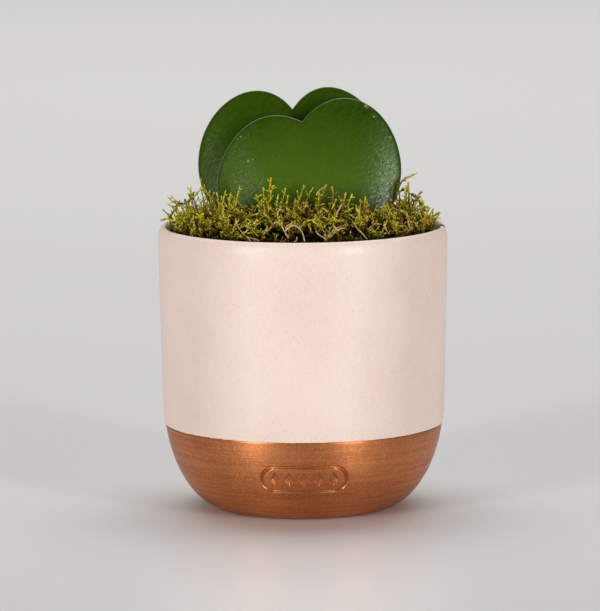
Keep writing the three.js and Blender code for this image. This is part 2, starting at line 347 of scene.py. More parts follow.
def outsideRadius(height):
    if height <= pot["bowlHeight"]:
        return bowlRadius(height)
    wallTop = pot["height"] - pot["shoulderHeight"]
    if height <= wallTop:
        share = (height - pot["bowlHeight"]) / (wallTop - pot["bowlHeight"])
        return pot["bowlRadius"] + (pot["radius"] - pot["bowlRadius"]) * share ** pot["bulge"]
    rise = min((height - wallTop) / pot["shoulderHeight"], 1)
    return pot["radius"] - pot["shoulderDepth"] * (1 - math.sqrt(max(1 - rise * rise, 0)))


def insideRadius(height):
    top = pot["bowlRadius"] - pot["wall"]
    if height <= pot["bowlHeight"]:
        return bowlRadius(height, pot["foot"] - pot["wall"], top, pot["floor"])
    share = (height - pot["bowlHeight"]) / (pot["height"] - pot["bowlHeight"])
    return top + (pot["radius"] - pot["bowlRadius"]) * share


def bowlHeights(steps, low=0.0):
    heights = []
    for step in range(steps + 1):
        angle = math.radians(90) * step / steps
        heights.append(low + (pot["bowlHeight"] - low) * (1 - math.cos(angle) ** (2 / pot["squareness"])))
    return heights


def spun(profile, steps):
    bm = bmesh.new()
    verts = [bm.verts.new((radius, 0, height)) for radius, height in profile]
    edges = [bm.edges.new(pair) for pair in zip(verts, verts[1:])]
    bmesh.ops.spin(
        bm, geom=verts + edges, cent=(0, 0, 0), axis=(0, 0, 1), dvec=(0, 0, 0),
        angle=math.tau, steps=steps, use_merge=True, use_duplicate=False,
    )
    bmesh.ops.remove_doubles(bm, verts=bm.verts, dist=0.001)
    bmesh.ops.recalc_face_normals(bm, faces=bm.faces)
    return bm


def smoothStep(value):
    value = min(max(value, 0), 1)
    return value * value * (3 - 2 * value)


def badgeDepth(x, z):
    up = z - badge["middle"]
    corner = badge["height"] / 2
    beyond = max(abs(x) - badge["width"] / 2 + corner, 0)
    fromLine = abs(math.hypot(beyond, up) - corner + badge["line"] / 2)
    pressed = smoothStep(1.5 - fromLine / (badge["line"] * badge["softness"]))
    pitch = badge["width"] / (badge["lozenges"] + 1)
    nearest = round(x / pitch)
    if abs(nearest) <= badge["lozenges"] // 2:
        across = abs(x - nearest * pitch) / (badge["lozengeWidth"] / 2)
        fromMiddle = across + abs(up) / (badge["lozengeHeight"] / 2)
        pressed = max(pressed, smoothStep((1.14 - fromMiddle) * 3))
    return badge["depth"] * pressed


def pressBadge(bm):
    # finer faces where the badge goes, and each point there is pushed in square to the round wall
    halfWidth = badge["width"] / 2 + badge["margin"]
    halfHeight = badge["height"] / 2 + badge["margin"]
    edges = set()
    for face in bm.faces:
        middle = face.calc_center_median()
        near = abs(middle.z - badge["middle"]) < halfHeight and abs(middle.x) < halfWidth
        outside = math.hypot(middle.x, middle.y) > outsideRadius(middle.z) - 0.6
        if middle.y < 0 and near and outside:
            edges.update(face.edges)
    made = bmesh.ops.subdivide_edges(bm, edges=list(edges), cuts=badge["cuts"], use_grid_fill=True)
    items = [item for item in made["geom_inner"] + list(edges) if item.is_valid]
    for vert in {vert for item in items for vert in getattr(item, "verts", [item])}:
        x, y, z = vert.co
        step = 0.05
        slope = (outsideRadius(z + step) - outsideRadius(z - step)) / (2 * step)
        push = badgeDepth(x, z) / math.hypot(1, slope)
        turn = math.atan2(y, x)
        radius = math.hypot(x, y) - push
        vert.co = (radius * math.cos(turn), radius * math.sin(turn), z + push * slope)


def raggedLine(bm):
    # the lower edge of the pink coat wanders a little, most of all at the left of the front
    middle = (drips["raggedFrom"] + drips["raggedTo"]) / 2
    width = (drips["raggedTo"] - drips["raggedFrom"]) / 2
    for vert in bm.verts:
        x, y, z = vert.co
        near = 1 - abs(z - pot["paintLine"]) / drips["reach"]
        if near <= 0:
            continue
        turn = math.degrees(math.atan2(y, x))
        ragged = smoothStep(1.5 - 1.5 * abs(turn - middle) / width)
        slow = noise.noise(Vector((x, y, 3)) / drips["slowGrain"])
        fine = noise.noise(Vector((x, y, 8)) / drips["grain"])
        shift = drips["wander"] * slow + drips["ragged"] * fine * (0.22 + 0.78 * ragged)
        vert.co.z += shift * smoothStep(near)


def potBody():
    # from the middle of the underside, up the outside, over the lip and down the inside
    proud, line = pot["glazeProud"], pot["paintLine"]
    sunk = pot["paintSunk"] + pot["paintThickness"] - 0.05  # the paint covers the clay
    profile = [(0, pot["recess"]), (18, pot["recess"])]
    profile += [(pot["footInside"] + out, height) for out, height in pot["footCorner"]]
    profile += [(pot["foot"] - 1.6, 0)]
    for height in bowlHeights(pot["bowlSteps"]):
        if height < line - 0.5:
            profile.append((outsideRadius(height) - sunk, max(height, 0.1)))
    wallRadius = outsideRadius(line)
    profile += [(wallRadius - sunk, line - 0.08)]
    profile += [(wallRadius + out, line + up) for out, up in pot["glazeEdge"]]
    profile += [(outsideRadius(line + 1.7) + proud + 0.04, line + 1.7)]
    height = line + 2.6
    wallTop = pot["height"] - pot["shoulderHeight"]
    while height < wallTop - 1:
        profile.append((outsideRadius(height) + proud, height))
        height += pot["wallStep"]
    for step in range(pot["shoulderSteps"] + 1):
        angle = math.radians(90) * step / pot["shoulderSteps"]
        height = wallTop + pot["shoulderHeight"] * math.sin(angle)
        profile.append((outsideRadius(height) + proud, height))
    lipRadius = insideRadius(pot["height"])
    for step in range(pot["lipSteps"] + 1):
        angle = math.radians(90) * step / pot["lipSteps"]
        out = pot["lipDepth"] * (1 - math.sin(angle))
        profile.append((lipRadius + out, pot["height"] - pot["lipHeight"] * (1 - math.cos(angle))))
    height = pot["height"] - pot["lipHeight"] - 1.6
    while height > pot["bowlHeight"] + 2:
        profile.append((insideRadius(height), height))
        height -= pot["insideStep"]
    for height in reversed(bowlHeights(pot["insideSteps"], pot["floor"])):
        profile.append((insideRadius(height), height))
    profile += [(16, pot["floor"]), (0, pot["floor"])]
    bm = spun(profile, pot["steps"])
    pressBadge(bm)
    raggedLine(bm)
    for face in bm.faces:
        middle = face.calc_center_median()
        radius = math.hypot(middle.x, middle.y)
        wallMiddle = (insideRadius(max(middle.z, pot["floor"])) + outsideRadius(middle.z)) / 2
        if middle.z < 1.6 and radius < pot["foot"]:
            face.material_index = 2  # bare foot
        elif middle.z > pot["floor"] - 0.5 and radius < min(wallMiddle, lipRadius + 0.1):
            face.material_index = 1  # white inside
    return bm


def paintCoat():
    # the copper paint is a thin closed coat over the lower part, its top tucked under the pink glaze
    line = pot["paintLine"]
    heights = [height for height in bowlHeights(pot["bowlSteps"]) if 0.25 < height < line - 0.5]
    heights += [line + 0.3]
    outer = [(outsideRadius(height) - pot["paintSunk"], height) for height in heights]
    inner = [(radius - pot["paintThickness"], height) for radius, height in outer]
    startRadius = outsideRadius(0.1) - pot["paintSunk"]
    ring = [(startRadius, 0.1), *outer, *reversed(inner), (startRadius - pot["paintThickness"], 0.15)]
    bm = spun(ring + ring[:1], pot["steps"])
    pressBadge(bm)
    return bm


pinkGlaze, tree, shader, place = newMaterial("pinkGlaze", {"Specular IOR Level": 0.55})
tint = mixColour(tree, cloud(tree, place, 26, detail=4), (0.72, 0.55, 0.475), (0.77, 0.61, 0.535))
fleck = times(tree, cloud(tree, place, 900, 0.3, 0.7, 5), 0.4)
tint = mixColour(tree, fleck, tint, (0.87, 0.71, 0.625))
grit = speckle(tree, place, 420, 0.17, 0.22)
tint = mixColour(tree, times(tree, grit, 0.5), tint, (0.5, 0.37, 0.31))
rough = remap(tree, cloud(tree, place, 300), 0, 1, 0.36, 0.46)
grain = maths(tree, "SUBTRACT", cloud(tree, place, 700, 0.2, 0.8, 4), grit)
feed(tree, shader, tint, rough, grain, 0.00005, 0.8)

whiteGlaze, tree, shader, place = newMaterial("whiteGlaze")
tint = mixColour(tree, cloud(tree, place, 60), (0.88, 0.86, 0.83), (0.93, 0.92, 0.9))
rough = remap(tree, cloud(tree, place, 300), 0, 1, 0.25, 0.35)
feed(tree, shader, tint, rough, cloud(tree, place, 500), 0.00004)

bareFoot, tree, shader, place = newMaterial("bareFoot", {"Roughness": 0.85})
tint = mixColour(tree, cloud(tree, place, 140), (0.55, 0.47, 0.4), (0.68, 0.6, 0.52))
grit = speckle(tree, place, 500, 0.25, 0.4)
feed(tree, shader, mixColour(tree, grit, tint, (0.4, 0.32, 0.26)), None, grit, 0.0001)

copperFinish = {
    "Metallic": 0.95,
    "Specular Tint": (0.9, 0.85, 0.85, 1),
    "Anisotropic": 0.6,
    "Anisotropic Rotation": 0.25,
}
copperPaint, tree, shader, place = newMaterial("copperPaint", copperFinish)
broad = cloud(tree, stretched(tree, place, (14, 14, 620)), 1, 0.36, 0.64, 4)  # streaks run around the pot
fine = cloud(tree, stretched(tree, place, (40, 40, 1700)), 1, 0.34, 0.66, 2)
flakes = speckle(tree, place, 2300, 0.9, 1, "Tone")
streaks = plus(tree, times(tree, broad, 0.55), times(tree, fine, 0.45))
tint = mixColour(tree, streaks, (0.42, 0.125, 0.04), (0.65, 0.24, 0.088))
tint = mixColour(tree, remap(tree, flakes, 0.55, 1, 0, 0.55), tint, (0.8, 0.38, 0.17))
patina = remap(tree, cloud(tree, place, 45, detail=4), 0, 1, 0, 0.3)
tint = mixColour(tree, patina, tint, (0.3, 0.085, 0.03))
rough = remap(tree, streaks, 0, 1, 0.46, 0.36)
relief = plus(tree, streaks, times(tree, flakes, 0.5))
feed(tree, shader, tint, rough, relief, 0.00006, 0.7)

finishPiece(potBody(), "ceramicPot", [pinkGlaze, whiteGlaze, bareFoot], ["pot"])
finishPiece(paintCoat(), "copperCoat", [copperPaint], ["pot"])

# Leaves

blade = {
    "points": 240,
    "rings": 64,
    "edgeRings": 10,
    "halfMiddle": 1.62,
    "halfEdge": 1.3,
    "edgeReach": 1.15,
    "footOut": 14.3,
    "footUp": 5.8,
    "middle": 38,
    "stalkRadius": 2.1,
    "stalkBelow": 23,
    "stalkInto": 9,
    "wave": 0.12,
    "waveSize": 15,
    "groove": 0.08,
    "grooveWidth": 1.3,
    "rimReach": 2.4,
    "curveSteps": 80,
}
frontLeaf = {
    "notch": 66.5,
    "left": {"reach": 42.2, "widest": 41.5, "notchOut": 23.9, "notchUp": 15.8, "over": 11, "under": 26},
    "right": {"reach": 41.4, "widest": 42.5, "notchOut": 20.8, "notchUp": 19.5, "over": 25.4, "under": 24},
    "sideCurl": 6.1,
    "topCurl": 2.5,
    "place": (8.5, -3.5, 108.7),
    "turn": (-1.5, -7.3, -1.5),
    "seed": 5,
    "topGreen": (0.012, 0.031, 0.0001),
    "lowGreen": (0.08, 0.152, 0.006),
    "relief": 0.5,
    "gloss": 0.2,
    "scars": [  # across, height and size
        (-24.3, 156.7, 1), (-22.6, 157.4, 0.9), (29, 181.8, 1.6), (39.4, 167, 0.8),
        (32.2, 176.5, 0.7), (-34.4, 161.6, 0.7), (-27.6, 167.8, 0.6), (-29, 166.6, 0.5),
    ],
}
backLeaf = {
    "notch": 70.4,
    "left": {"reach": 43.6, "widest": 45.1, "notchOut": 15.5, "notchUp": 21.2, "over": 27.8, "under": 25.5},
    "right": {"reach": 41.9, "widest": 51.3, "notchOut": 17.6, "notchUp": 23.7, "over": 15.3, "under": 22},
    "sideCurl": 6,
    "topCurl": 1.5,
    "place": (-1.5, 6.5, 108.8),
    "turn": (-2.5, -2.3, 2),
    "seed": 23,
    "topGreen": (0.021, 0.047, 0.0002),
    "lowGreen": (0.046, 0.086, 0.003),
    "relief": 0.4,
    "gloss": 0.12,
    "scars": [],
}


def halfOutline(leaf, side):
    half = leaf["right"] if side > 0 else leaf["left"]
    reach = side * half["reach"]
    notch, widest = (0, leaf["notch"], 0), (reach, half["widest"], 0)
    liftNotch = (side * half["notchOut"], leaf["notch"] + half["notchUp"], 0)
    foot = (side * blade["footOut"], blade["footUp"], 0)
    above = (reach, half["widest"] + half["over"], 0)
    below = (reach, half["widest"] - half["under"], 0)
    line = geometry.interpolate_bezier(notch, liftNotch, above, widest, blade["curveSteps"])
    line += geometry.interpolate_bezier(widest, below, foot, (0, 0, 0), blade["curveSteps"])[1:]
    stalk = blade["stalkRadius"]
    points = [(spot.x, spot.y) for spot in line if abs(spot.x) > stalk or spot.y > blade["middle"]]
    low = -blade["stalkBelow"]
    points += [(side * stalk, low + 1), (side * stalk * 0.6, low + 0.2), (0, low)]
    return numpy.array(points)


def evenPoints(points, count):
    # the same line in equal steps, its last point left out
    steps = numpy.hypot(*numpy.diff(points, axis=0).T)
    along = numpy.concatenate([[0], numpy.cumsum(steps)])
    wanted = numpy.linspace(0, along[-1], count, endpoint=False)
    return numpy.column_stack([numpy.interp(wanted, along, points[:, axis]) for axis in (0, 1)])


def leafOutline(leaf):
    half = blade["points"] // 2
    left = evenPoints(halfOutline(leaf, -1), half)
    right = evenPoints(halfOutline(leaf, 1)[::-1], half)
    return numpy.concatenate([left, right])


def leafDepth(leaf, x, y):
    across = x / leaf["right"]["reach"]
    up = (numpy.maximum(y, 0) - blade["middle"]) / blade["middle"]
    return leaf["sideCurl"] * abs(across) ** 2.6 * (1.15 - 0.25 * up) - leaf["topCurl"] * up**2


def leafMatrix(leaf):
    lean, tilt, yaw = leaf["turn"]
    turn = rotation(lean, "X") @ rotation(tilt, "Y") @ rotation(yaw, "Z")
    return Matrix.Translation(leaf["place"]) @ turn


def leafPiece(leaf):
    # a ball whose rings are laid on the outline: its poles become the two faces, its equator the edge
    bm = bmesh.new()
    points, rings = blade["points"], blade["rings"]
    bmesh.ops.create_uvsphere(bm, u_segments=points, v_segments=rings, radius=1)
    outline = leafOutline(leaf)
    middle = blade["middle"]
    flatRings = rings // 2 - blade["edgeRings"]
    rim = bm.verts.layers.float.new("rim")
    turns = {}
    for vert in bm.verts:
        ring = round(math.acos(min(max(vert.co.z, -1), 1)) / math.pi * rings)
        point = round(math.atan2(vert.co.y, vert.co.x) / math.tau * points) % points
        face = -1 if ring <= rings // 2 else 1
        ring = min(ring, rings - ring)
        outX, outY = outline[point]
        length = math.hypot(outX, outY - middle)
        edge = blade["edgeReach"] / length
        if ring <= flatRings:
            share, fullness = (1 - edge) * (ring / flatRings) ** 0.9, 1
        else:
            angle = math.radians(90) * (ring - flatRings) / blade["edgeRings"]
            share, fullness = 1 - edge + edge * math.sin(angle), math.cos(angle)
        x, y = outX * share, middle + (outY - middle) * share
        half = (blade["halfEdge"] + (blade["halfMiddle"] - blade["halfEdge"]) * (1 - share**3)) * fullness
        stalk = math.sqrt(max(blade["stalkRadius"] ** 2 - x * x, 0))
        if y < 0:
            half = stalk
        elif y < blade["stalkInto"]:
            half = max(half, stalk * smoothStep((blade["stalkInto"] - y) / 5) * min(fullness * 3, 1))
        spot = Vector((x / blade["waveSize"], y / blade["waveSize"], leaf["seed"]))
        wave = blade["wave"] * noise.noise(spot) * smoothStep(y / 20)
        inGroove = math.exp(-((x / blade["grooveWidth"]) ** 2))
        groove = blade["groove"] * inGroove * smoothStep((y - 4) / 10) * fullness
        depth = float(leafDepth(leaf, x, y)) + wave
        vert.co = (x, depth + face * (half - groove), y)
        vert[rim] = smoothStep(1 - (1 - share) * length / blade["rimReach"])
        turns[vert] = (point / points, share * length)
    ringMap = bm.loops.layers.uv.new("rings")
    perimeter = float(numpy.hypot(*numpy.diff(outline, axis=0).T).sum()) * millimetre
    for face in bm.faces:
        spots = [turns[loop.vert] for loop in face.loops]
        for loop, (turn, out) in zip(face.loops, spots):
            if max(spots)[0] - turn > 0.5:
                turn += 1
            loop[ringMap].uv = (turn * perimeter, out * millimetre)
    bmesh.ops.transform(bm, matrix=leafMatrix(leaf), verts=bm.verts)
    bmesh.ops.recalc_face_normals(bm, faces=bm.faces)
    return bm


def leafMaterial(name, leaf):
    material, tree, shader, place = newMaterial(name)
    ringsPlace = addNode(tree, "ShaderNodeUVMap", uv_map="rings").outputs["UV"]
    axes = axesOf(tree, place)
    across, height = axes["X"], axes["Z"]
    edge = attribute(tree, "rim")
    ripples = cloud(tree, stretched(tree, ringsPlace, (430, 1500, 1)), 1, 0.25, 0.75, 3)
    dents = cloud(tree, place, 900, 0.3, 0.7, 2)
    slant = {"Vector": place, "Rotation": (0, math.radians(48), 0)}
    slanted = addNode(tree, "ShaderNodeMapping", slant).outputs[0]
    strokes = cloud(tree, stretched(tree, slanted, (420, 100, 2000)), 1, 0.36, 0.64, 3)

    blotches = times(tree, cloud(tree, place, 24, 0.3, 0.7, 4), 0.25)
    lower = plus(tree, remap(tree, height, 0.18, 0.14, 0, 0.75), blotches)
    tint = mixColour(tree, lower, leaf["topGreen"], leaf["lowGreen"])
    tint = mixColour(tree, times(tree, strokes, 0.17), tint, (0.08, 0.145, 0.025))
    skin = cloud(tree, place, 800, 0.3, 0.7, 4)
    tint = mixColour(tree, times(tree, skin, 0.3), tint, (0.03, 0.065, 0.001))
    # painted shade: low down, where the moss meets the leaf, its foot darkens, except at its left edge
    foot = times(tree, remap(tree, height, 0.147, 0.137, 0, 0.7), remap(tree, across, -0.032, -0.024))
    tint = mixColour(tree, foot, tint, (0.012, 0.026, 0.001))
    # painted shade: the rim turns a deeper green where the margin rolls back from the light
    tint = mixColour(tree, remap(tree, edge, 0.1, 0.75, 0, 0.7), tint, (0.016, 0.045, 0.0005))
    # painted highlight: a pale line along the rim where the rounded edge catches light from above, faint at
    # the right side
    paintedRimHighlight = remap(tree, edge, 0.95, 1, 0, 0.6)
    paintedRimHighlight = times(tree, paintedRimHighlight, remap(tree, across, 0.034, 0.024, 0.1, 1))
    tint = mixColour(tree, paintedRimHighlight, tint, (0.26, 0.32, 0.18))

    dots = speckle(tree, place, 260, 0.17, 0.03)
    ragged = cloud(tree, place, 1400, 0.42, 0.58, 2)
    flat = stretched(tree, place, (1, 0, 1))
    for x, z, size in leaf["scars"]:
        away = {0: flat, 1: (x * millimetre, 0, z * millimetre)}
        away = addNode(tree, "ShaderNodeVectorMath", away, operation="DISTANCE").outputs["Value"]
        scar = times(tree, remap(tree, away, size * millimetre, 0.3 * size * millimetre), ragged)
        dots = maths(tree, "MAXIMUM", dots, scar)
    tint = mixColour(tree, times(tree, dots, 0.8), tint, (0.3, 0.34, 0.12))

    relief = plus(tree, strokes, times(tree, dents, 0.35))
    relief = plus(tree, relief, times(tree, cloud(tree, place, 110, 0.2, 0.8, 2), 0.3))
    rough = plus(tree, remap(tree, ripples, 0, 1, 0.18, 0.25), remap(tree, edge, 0, 0.7, 0, 0.25))
    rough = plus(tree, rough, remap(tree, height, 0.168, 0.14, 0, 0.07))
    feed(tree, shader, tint, rough, relief, 0.00008, leaf["relief"])
    shine = remap(tree, height, 0.176, 0.142, 0.3 * leaf["gloss"], 1.45 * leaf["gloss"])
    shine = times(tree, shine, remap(tree, strokes, 0, 1, 0.15, 1.95))
    shine = times(tree, shine, remap(tree, across, -0.02, 0.02, 0.55, 1))
    tree.links.new(shine, shader.inputs["Specular IOR Level"])
    return material


frontGreen = leafMaterial("frontLeafGreen", frontLeaf)
backGreen = leafMaterial("backLeafGreen", backLeaf)
finishPiece(leafPiece(frontLeaf), "frontLeaf", [frontGreen], ["leaf_front"])
finishPiece(leafPiece(backLeaf), "backLeaf", [backGreen], ["leaf_back"])

# Moss: a dark mat with some two thousand branching sprigs rooted in it

mat = {
    "radius": 61.2,
    "reach": 61.5,
    "edgeHeight": 115.5,
    "crownHeight": 126,
    "lump": 1.7,
    "bottom": 107.8,
    "steps": 120,
    "rings": 22,
    "rough": 0.9,
    "roughSize": 2.6,
}
sprig = {
    "seed": 311,
    "count": 4300,
    "reach": 59.5,
    "attempts": 7,
    "size": (0.78, 1.1),
    "segments": 5,
    "stem": (0.46, 0.32),
    "twig": (0.4, 0.28),
    "uneven": (0.82, 1.2),
    "twigLean": (32, 56),
    "twigBend": 15,
    "rootDepth": 2,
    "underRim": 60.6,
    "rimHeight": 128.2,
    "overRim": 65.4,
    "leafGap": 2.3,
    "slope": (10, 22, 34),  # at the middle, more towards the rim, and how uneven
    "slopeSpread": 15,
    "swirl": 150,
    "swirlSpread": 45,
    "pocket": 7,
    "bare": [  # x, y and radius of the dark gaps near the rim
        (3, -56, 5.5), (1, -47, 4), (-31, -49, 4), (22, -54, 4),
        (57, -16, 5), (-57, -18, 5), (-8, -57, 3), (40, -42, 4),
    ],
    "shadeHeight": 123.5,
    "shadeReach": 6.5,
    "shadeLeast": (0.08, 0.28),
    "crowd": (0.54, 0.97),
    "front": (-45, -18),
    "darkerRight": 0.24,
    "toneSpread": 0.38,
}
sprigKinds = [  # how many, length, bend, arch, twigs and their length
    (10, (12, 19), 13, (-30, 60), (8, 11), (1.2, 3.4)),
    (9, (14, 22), 17, (20, 100), (6, 9), (1.1, 3)),
    (6, (8, 12), 15, (-20, 60), (6, 8), (1.1, 2.8)),
    (7, (13, 21), 16, (90, 160), (4, 6), (1, 2.2)),
]
tall = {"attempts": 16, "segments": 8, "bend": 7, "twigs": (9, 13), "twigLength": (1.6, 4.5)}
tallSprigs = [  # tip, root and tone
    ((-45.8, -6, 150), (-42, -7), 0.8), ((-45.6, -10, 146.2), (-41, -12), 0.7),
    ((-50.7, -10, 143.5), (-47, -12), 0.6), ((-52.7, -16, 141.6), (-48, -18), 0.5),
    ((-55.6, -19, 136.5), (-49, -21), 0.5), ((-38.4, -18, 144.5), (-37, -22), 0.9),
    ((-34.3, -20, 145.7), (-39, -23), 0.85), ((-32, -22, 144.9), (-36, -26), 0.8),
    ((-27.9, -20, 147.6), (-35, -23), 0.9), ((-20.8, -20, 144), (-19, -24), 0.7),
    ((-17.6, -18, 147), (-15, -22), 0.8), ((-14.1, -16, 151), (-16, -18), 1),
    ((-13.1, -18, 147.6), (-15, -20), 0.95), ((-10.8, -22, 144.3), (-13, -25), 0.9),
    ((-7.6, -17, 146.4), (-11, -20), 0.8), ((-6.5, -19, 143.5), (-9, -23), 0.75),
    ((0.6, -18, 147.8), (-8, -22), 0.45), ((4.8, -17, 146.5), (1, -20), 0.22),
    ((10.7, -17, 147.8), (4, -20), 0.05), ((13.1, -18, 147.3), (8, -22), 0.06),
    ((7.4, -21, 145), (5, -25), 0.4), ((19.3, -18, 144.3), (15, -21), 0.3),
    ((22.3, -19, 143.8), (16, -23), 0.8), ((15.2, -24, 142.1), (14, -27), 0.5),
    ((28.1, -19, 142.6), (25, -22), 0.6), ((28.5, -24, 141.3), (30, -27), 0.07),
    ((36.8, -20, 138.8), (35, -22), 0.9), ((39.4, -15, 141.1), (41, -17), 0.05),
    ((47.7, -5, 147.4), (47, -8), 0.6),
    ((45.8, -8, 144.5), (45, -11), 0.5), ((48.8, -9, 142.7), (46, -12), 0.6),
    ((52.4, -9, 141.9), (46, -12), 0.7), ((54.3, -12, 139.3), (48, -14), 0.6),
    ((56.5, -14, 137), (49, -16), 0.5), ((61.7, -14, 134.5), (54, -17), 0.75),
    ((57.8, -18, 134.8), (55, -20), 0.6), ((44, 18, 146), (40, 20), 0.7),
    ((-38, 24, 147), (-33, 26), 0.6), ((10, 34, 147), (6, 36), 0.8), ((-12, 42, 143), (-10, 38), 0.5),
    ((28, 40, 142), (25, 37), 0.9), ((-52, 16, 143), (-46, 18), 0.7), ((54, 14, 141), (48, 14), 0.06),
    ((-22, 33, 146), (-20, 31), 0.06), ((-4, 26, 148), (-6, 28), 0.9), ((18, 24, 147), (20, 27), 0.8),
]
strand = {
    "steps": 10,
    "radius": (0.34, 0.22),
    "sides": 5,
    "scattered": 40,
    "front": -22,
    "reach": 54,
    "rise": (5, 12),
    "wander": 3,
}
driedStrands = [  # four bezier points, tone and thickness of each strand at the front
    (((-29.6, -37.1, 134.8), (-29.3, -42.6, 131.7), (-26.4, -47.8, 129.7), (-23, -53.7, 127.3)), 0.35, 0.8),
    (((-24.6, -50.2, 128.9), (-23.3, -52.3, 128), (-21.1, -52.6, 128.5), (-19.3, -55.1, 127.5)), 0.3, 0.8),
    (((-25.9, -43, 132.7), (-23.3, -45.3, 132.3), (-22, -48, 131), (-19.9, -51.8, 129.3)), 0.8, 0.8),
    (((-7.6, -51.7, 131.4), (-5.2, -46.4, 134.7), (-0.3, -47.8, 134), (0.7, -58.4, 127.8)), 0.95, 1.2),
    (((-9.3, -45.9, 134.7), (-9.8, -50.1, 132.1), (-7.4, -52.3, 131.1), (-6.3, -56.2, 128.9)), 0.8, 0.8),
    (((-7.4, -50.5, 132.2), (-7.4, -46.8, 134.3), (-4.7, -48.9, 133.3), (-4.7, -46.1, 134.9)), 0.45, 1),
    (((-13.1, -46.4, 133.9), (-11.3, -44.9, 135), (-9.6, -46.4, 134.3), (-8.5, -50.3, 132.1)), 0.8, 0.9),
    (((5.8, -51.9, 131.4), (6.7, -54.9, 129.5), (8.9, -54.6, 129.5), (10.6, -57.1, 127.8)), 0.3, 1),
    (((9.6, -55.4, 128.9), (13.7, -54.9, 128.6), (14.2, -48.6, 132.2), (18.4, -47.4, 132)), 0.3, 1.4),
    (((11.2, -54.2, 129.4), (12.5, -51.5, 130.8), (13.8, -48.4, 132.4), (17.4, -46.8, 132.6)), 0.3, 1.1),
    (((17.1, -33.6, 140.6), (16.6, -36.8, 138.8), (14.8, -37.9, 138.5), (15, -41.6, 136.2)), 0.3, 1.2),
    (((-11.1, -41.8, 136.9), (-11.3, -38.1, 139.1), (-9.6, -36.5, 140.2), (-8.7, -39.8, 138.4)), 0.7, 1),
    (((46, -19.1, 135.5), (47.5, -20.3, 133.4), (46.3, -25.4, 131.3), (48.2, -27.1, 128.4)), 0.4, 1.3),
    (((22.7, -42.7, 133.7), (23.5, -46.1, 131.4), (25.7, -46.3, 130.5), (28.3, -49.9, 127.4)), 0.85, 0.8),
    (((35.8, -36.5, 131.9), (36.9, -36.9, 131), (36.7, -39.5, 129.6), (38.4, -39.9, 128.3)), 0.8, 1),
    (((6.2, -33.5, 145.1), (6.9, -29.7, 147.3), (9.1, -29.4, 147.3), (10.7, -26.4, 148.9)), 0.9, 0.8),
]
arc = {"thicker": 1.3, "uneven": 0.5, "twigs": (3, 6), "twigLength": (0.7, 1.9)}
mossArcs = [  # the same of each green arching stem at the sides
    (((-59.4, -18, 132.3), (-58, -18, 135.6), (-57.2, -18, 138.2), (-54.4, -18, 139.1)), 0.55, 1.1),
    (((-58, -18, 135.3), (-58.9, -18, 134.3), (-59.7, -18, 134.5), (-60.5, -18, 134)), 0.5, 0.8),
    (((-58.9, -19, 133.5), (-60.5, -19, 132.9), (-61.8, -19, 132.9), (-63.8, -19, 132.1)), 0.6, 0.9),
    (((-52.3, -15, 139.6), (-54.5, -15, 138.4), (-57, -15, 140.7), (-58.9, -15, 143.2)), 0.6, 1),
    (((-53.5, -16, 138.9), (-56.1, -16, 138.6), (-58.3, -16, 140.5), (-60.4, -16, 142.7)), 0.65, 1),
    (((-54.5, -17, 138.9), (-56.1, -17, 138.2), (-57.3, -17, 138.5), (-58.6, -17, 138.3)), 0.55, 0.9),
    (((-52.9, -13, 139.2), (-49.1, -13, 141.4), (-46.2, -13, 143.9), (-45.5, -13, 146.5)), 0.6, 1.1),
    (((-49.9, -13, 141.4), (-50.2, -13, 142.4), (-50, -13, 143), (-50.7, -13, 143.8)), 0.65, 0.9),
    (((-45.9, -10, 150.5), (-44.6, -10, 147.4), (-43.7, -10, 144.2), (-40.5, -10, 140.5)), 0.85, 1.1),
    (((-52.7, -17, 141.7), (-52.4, -17, 139.3), (-51.6, -17, 136.7), (-49.7, -17, 132.2)), 0.5, 1.2),
    (((42, -1, 139), (43.5, -2, 150), (47.1, -2, 148.2), (51.7, -2, 151.1)), 0.7, 1.2),
    (((47.6, -7, 137), (48.2, -7, 143.3), (47, -7, 145.2), (47.5, -7, 147.6)), 0.6, 1.2),
    (((49.8, -9, 138.7), (51.1, -9, 140.3), (52.7, -9, 140.3), (52.4, -9, 141.9)), 0.6, 0.9),
    (((48.5, -10, 142.7), (52, -10, 139.7), (54.9, -10, 136.8), (55.8, -10, 133.3)), 0.4, 1.1),
    (((53.3, -11, 135.8), (54.5, -11, 136.9), (55.5, -11, 136.5), (56.7, -11, 136.5)), 0.65, 0.8),
    (((56.8, -14, 131.5), (58.6, -14, 133.1), (59.6, -14, 133.7), (61.6, -14, 134.6)), 0.7, 1.4),
    (((43.6, -7, 143), (44.7, -7, 144.3), (45.4, -7, 143.6), (46, -7, 144.3)), 0.3, 0.9),
    (((52.8, -12, 137.4), (53.6, -12, 138.4), (53.9, -12, 139), (54.4, -12, 139.4)), 0.7, 1),
]
crumbs = {
    "size": (0.22, 0.5),
    "lip": (61.9, 63),
    "patches": [(-12, 4, 16), (-155, 5, 6), (60, 170, 10)],  # middle, reach in degrees, count
    "stick": ((61.6, -6, 128.1), (62.2, -6.1, 128), (63, -6.2, 127.6), (63.8, -6.3, 127.1)),
}


def matHeight(x, y):
    out = numpy.minimum(1, numpy.hypot(x, y) / mat["reach"])
    hummocks = numpy.sin(0.23 * x + 1) * numpy.cos(0.27 * y)
    tufts = numpy.sin(0.62 * x + 0.21 * y) * numpy.sin(0.57 * y - 0.13 * x + 2)
    rise = (mat["crownHeight"] - mat["edgeHeight"]) * numpy.sqrt(1 - out**3)
    return mat["edgeHeight"] + rise + mat["lump"] * (hummocks + tufts) * (1 - 0.6 * out**4)


